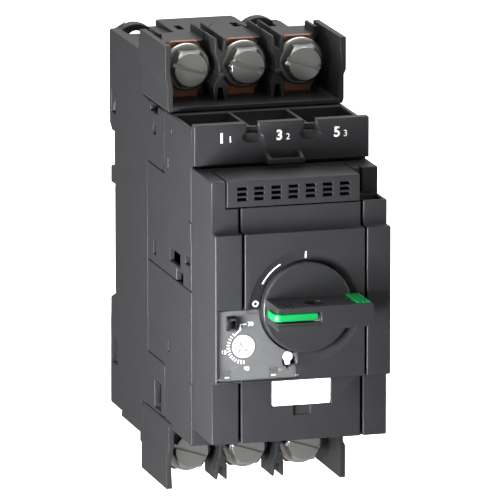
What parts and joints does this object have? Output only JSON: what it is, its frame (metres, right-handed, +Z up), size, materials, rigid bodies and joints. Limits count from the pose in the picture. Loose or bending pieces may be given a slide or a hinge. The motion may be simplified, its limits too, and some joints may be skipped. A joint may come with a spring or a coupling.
{
  "type": "motor protection circuit breaker",
  "caption": "Motor protection breaker for a 35 mm rail, with a rotary padlockable handle, a current setting dial and screw terminals above and below.",
  "frame": {"origin": "centre of the rail seat's floor, where the breaker rests on the face of a 35 mm rail", "axes": "+X to the right seen from the handle side, +Y back towards the rail, +Z up towards the line terminals, so the handle faces -Y"},
  "size_m": [0.0574, 0.1389, 0.1386],
  "materials": {
    "anthracite": "fine-textured anthracite moulding",
    "panel": "fine-textured grey moulding",
    "handle_grey": "smooth dark grey moulding",
    "green": "satin green moulding",
    "light_grey": "smooth light grey moulding",
    "label": "smooth white film",
    "clear": "clear moulding",
    "black": "black moulding",
    "phenolic": "brown thermoset",
    "steel": "satin zinc plate",
    "copper": "dull copper",
    "bimetal": "satin"
  },
  "bodies": {
    "root": {"rear_base": "anthracite", "upper_mid_case": "anthracite", "lower_mid_case": "anthracite", "front_case": "anthracite", "front_cover": "anthracite", "vent_cover": "anthracite", "marking_strip": "anthracite", "upper_terminal_block": "anthracite", "lower_terminal_block": "anthracite", "label_plate": "label", "scale_plate": "panel", "mechanism_frame": "steel", "rail_clip_spring": "steel", "line_terminal_1": "copper", "line_terminal_2": "copper", "line_terminal_3": "copper", "load_terminal_1": "copper", "load_terminal_2": "copper", "load_terminal_3": "copper", "arc_chute_1": "steel", "arc_chute_2": "steel", "arc_chute_3": "steel", "magnetic_coil_1": "copper", "magnetic_coil_2": "copper", "magnetic_coil_3": "copper", "bimetal_strip_1": "bimetal", "bimetal_strip_2": "bimetal", "bimetal_strip_3": "bimetal"},
    "handle": {"handle_knob": "handle_grey", "handle_grip": "green", "handle_shaft": "steel"},
    "padlock_tongue": {"padlock_tongue": "green"},
    "contact_carrier": {"contact_carrier": "phenolic", "moving_contact_1": "copper", "moving_contact_2": "copper", "moving_contact_3": "copper"},
    "setting_dial": {"setting_dial": "light_grey"},
    "setting_cover": {"setting_cover": "clear"},
    "test_button": {"test_button": "light_grey"},
    "trip_bar": {"trip_bar": "phenolic"},
    "rail_clip": {"rail_clip": "black"},
    "coil_plunger_1": {"coil_plunger_1": "steel"},
    "coil_plunger_2": {"coil_plunger_2": "steel"},
    "coil_plunger_3": {"coil_plunger_3": "steel"},
    "line_washer_1": {"line_washer_1": "steel"},
    "line_washer_2": {"line_washer_2": "steel"},
    "line_washer_3": {"line_washer_3": "steel"},
    "load_washer_1": {"load_washer_1": "steel"},
    "load_washer_2": {"load_washer_2": "steel"},
    "load_washer_3": {"load_washer_3": "steel"},
    "line_screw_1": {"line_screw_1": "steel"},
    "line_screw_2": {"line_screw_2": "steel"},
    "line_screw_3": {"line_screw_3": "steel"},
    "load_screw_1": {"load_screw_1": "steel"},
    "load_screw_2": {"load_screw_2": "steel"},
    "load_screw_3": {"load_screw_3": "steel"}
  },
  "joints": [
    {"name": "handle_turn", "type": "hinge", "parent": "root", "child": "handle", "pos_m": [0.0009, -0.1184, 0.0011], "axis": [0, 1, 0], "range_deg": [0, 90]},
    {"name": "padlock_tongue_pull", "type": "slide", "parent": "handle", "child": "padlock_tongue", "axis": [0, -1, 0], "range_m": [0, 0.008]},
    {"name": "contact_carrier_slide", "type": "slide", "parent": "root", "child": "contact_carrier", "axis": [0, 1, 0], "range_m": [0, 0.004]},
    {"name": "setting_dial_turn", "type": "hinge", "parent": "root", "child": "setting_dial", "pos_m": [-0.0182, -0.1154, -0.0103], "axis": [0, 1, 0], "range_deg": [-45, 95]},
    {"name": "setting_cover_open", "type": "hinge", "parent": "root", "child": "setting_cover", "pos_m": [-0.0143, -0.11615, -0.0199], "axis": [1, 0, 0], "range_deg": [0, 100]},
    {"name": "test_button_press", "type": "slide", "parent": "root", "child": "test_button", "axis": [0, 1, 0], "range_m": [0, 0.002], "stiffness_N_per_m": 150, "springref_m": -0.001},
    {"name": "trip_bar_turn", "type": "hinge", "parent": "root", "child": "trip_bar", "pos_m": [0, -0.082, -0.012], "axis": [1, 0, 0], "range_deg": [0, 12]},
    {"name": "rail_clip_pull", "type": "slide", "parent": "root", "child": "rail_clip", "axis": [0, 0, -1], "range_m": [0, 0.005], "stiffness_N_per_m": 600, "springref_m": -0.002, "deforming": ["rail_clip_spring"]},
    {"name": "coil_plunger_lift_1", "type": "slide", "parent": "root", "child": "coil_plunger_1", "axis": [0, 0, 1], "range_m": [0, 0.0038], "stiffness_N_per_m": 150, "springref_m": -0.001},
    {"name": "coil_plunger_lift_2", "type": "slide", "parent": "root", "child": "coil_plunger_2", "axis": [0, 0, 1], "range_m": [0, 0.0038], "stiffness_N_per_m": 150, "springref_m": -0.001},
    {"name": "coil_plunger_lift_3", "type": "slide", "parent": "root", "child": "coil_plunger_3", "axis": [0, 0, 1], "range_m": [0, 0.0038], "stiffness_N_per_m": 150, "springref_m": -0.001},
    {"name": "line_washer_back_out_1", "type": "slide", "parent": "root", "child": "line_washer_1", "axis": [0, -1, 0], "range_m": [-0.0018, 0.0022]},
    {"name": "line_washer_back_out_2", "type": "slide", "parent": "root", "child": "line_washer_2", "axis": [0, -1, 0], "range_m": [-0.0018, 0.0022]},
    {"name": "line_washer_back_out_3", "type": "slide", "parent": "root", "child": "line_washer_3", "axis": [0, -1, 0], "range_m": [-0.0018, 0.0022]},
    {"name": "load_washer_back_out_1", "type": "slide", "parent": "root", "child": "load_washer_1", "axis": [0, -1, 0], "range_m": [-0.0018, 0.0022]},
    {"name": "load_washer_back_out_2", "type": "slide", "parent": "root", "child": "load_washer_2", "axis": [0, -1, 0], "range_m": [-0.0018, 0.0022]},
    {"name": "load_washer_back_out_3", "type": "slide", "parent": "root", "child": "load_washer_3", "axis": [0, -1, 0], "range_m": [-0.0018, 0.0022]},
    {"name": "line_screw_turn_1", "type": "hinge", "parent": "line_washer_1", "child": "line_screw_1", "pos_m": [-0.0181, -0.056, 0.0632], "axis": [0, -1, 0], "range_deg": [-648, 792]},
    {"name": "line_screw_turn_2", "type": "hinge", "parent": "line_washer_2", "child": "line_screw_2", "pos_m": [0, -0.056, 0.0632], "axis": [0, -1, 0], "range_deg": [-648, 792]},
    {"name": "line_screw_turn_3", "type": "hinge", "parent": "line_washer_3", "child": "line_screw_3", "pos_m": [0.0181, -0.056, 0.0632], "axis": [0, -1, 0], "range_deg": [-648, 792]},
    {"name": "load_screw_turn_1", "type": "hinge", "parent": "load_washer_1", "child": "load_screw_1", "pos_m": [-0.0181, -0.056, -0.0564], "axis": [0, -1, 0], "range_deg": [-648, 792]},
    {"name": "load_screw_turn_2", "type": "hinge", "parent": "load_washer_2", "child": "load_screw_2", "pos_m": [0, -0.056, -0.0564], "axis": [0, -1, 0], "range_deg": [-648, 792]},
    {"name": "load_screw_turn_3", "type": "hinge", "parent": "load_washer_3", "child": "load_screw_3", "pos_m": [0.0181, -0.056, -0.0564], "axis": [0, -1, 0], "range_deg": [-648, 792]}
  ],
  "couplings": [
    {"joint": "handle_turn", "follows": "contact_carrier_slide", "rad_per_m": 392.69},
    {"joint": "trip_bar_turn", "follows": "test_button_press", "rad_per_m": 104.7},
    {"joint": "line_screw_turn_1", "follows": "line_washer_back_out_1", "rad_per_m": 6283.2},
    {"joint": "line_screw_turn_2", "follows": "line_washer_back_out_2", "rad_per_m": 6283.2},
    {"joint": "line_screw_turn_3", "follows": "line_washer_back_out_3", "rad_per_m": 6283.2},
    {"joint": "load_screw_turn_1", "follows": "load_washer_back_out_1", "rad_per_m": 6283.2},
    {"joint": "load_screw_turn_2", "follows": "load_washer_back_out_2", "rad_per_m": 6283.2},
    {"joint": "load_screw_turn_3", "follows": "load_washer_back_out_3", "rad_per_m": 6283.2}
  ]
}
